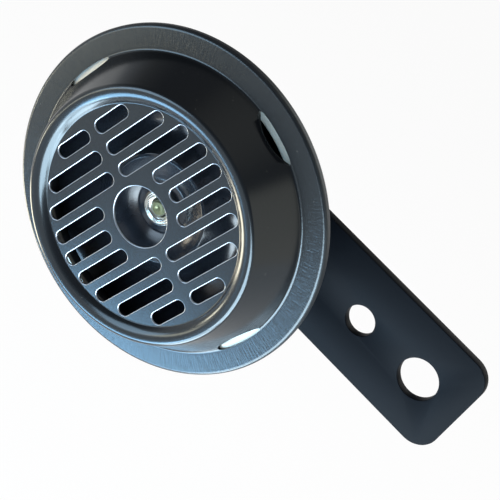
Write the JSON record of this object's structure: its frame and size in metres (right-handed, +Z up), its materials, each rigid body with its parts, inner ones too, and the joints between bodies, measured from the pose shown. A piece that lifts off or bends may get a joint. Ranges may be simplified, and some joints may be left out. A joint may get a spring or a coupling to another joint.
{
  "type": "car horn",
  "caption": "Small black electric disc horn for a 12 V car, with a round slotted grille and a flat two-hole mounting bracket.",
  "frame": {"origin": "centre of the bracket's M8 hole, on the bracket's back face", "axes": "+X along the bracket away from the horn, +Y to the back along the sound axis, +Z up; the grille faces -Y"},
  "size_m": [0.1027, 0.0422, 0.07],
  "materials": {
    "cover_paint": "satin black paint over pressed steel",
    "housing_paint": "gloss black paint over pressed steel",
    "bracket_paint": "satin blue-black paint over flat steel",
    "bare_steel": "bare cold-rolled steel with a film of oil",
    "zinc_plate": "bright zinc plate",
    "bright_plate": "nickel plate",
    "tone_disc_black": "gloss black paint",
    "gasket_paper": "oiled gasket paper",
    "bobbin_plastic": "natural nylon",
    "copper_wire": "varnished copper wire",
    "spring_bronze": "phosphor bronze strip",
    "tungsten": "ground tungsten",
    "phenolic_board": "brown laminated phenolic board",
    "tinned_brass": "tin plate over brass"
  },
  "bodies": {
    "root": {"front_cover": "cover_paint", "rear_housing": "housing_paint", "bracket": "bracket_paint", "diaphragm": "bare_steel", "armature": "bare_steel", "pole_core": "zinc_plate", "rim_gasket": "gasket_paper", "tone_disc": "tone_disc_black", "tone_disc_spacer": "bare_steel", "tone_disc_nut": "bright_plate", "coil_bobbin": "bobbin_plastic", "coil_winding": "copper_wire", "contact_clamp_plate": "bare_steel", "moving_contact_arm": "spring_bronze", "contact_insulator": "phenolic_board", "fixed_contact_arm": "spring_bronze", "contact_block": "phenolic_board", "moving_contact_point": "tungsten", "fixed_contact_point": "tungsten", "armature_button": "phenolic_board", "adjusting_screw": "zinc_plate", "screw_lock_nut": "zinc_plate", "left_terminal_insulator": "phenolic_board", "left_terminal": "tinned_brass", "right_terminal_insulator": "phenolic_board", "right_terminal": "tinned_brass", "inner_terminal_insulator": "phenolic_board", "contact_rivet_outer": "tinned_brass", "contact_rivet_inner": "tinned_brass", "terminal_rivet": "tinned_brass", "stud_collar": "zinc_plate", "spring_washer": "zinc_plate", "hexagon_nut": "zinc_plate"}
  },
  "joints": []
}
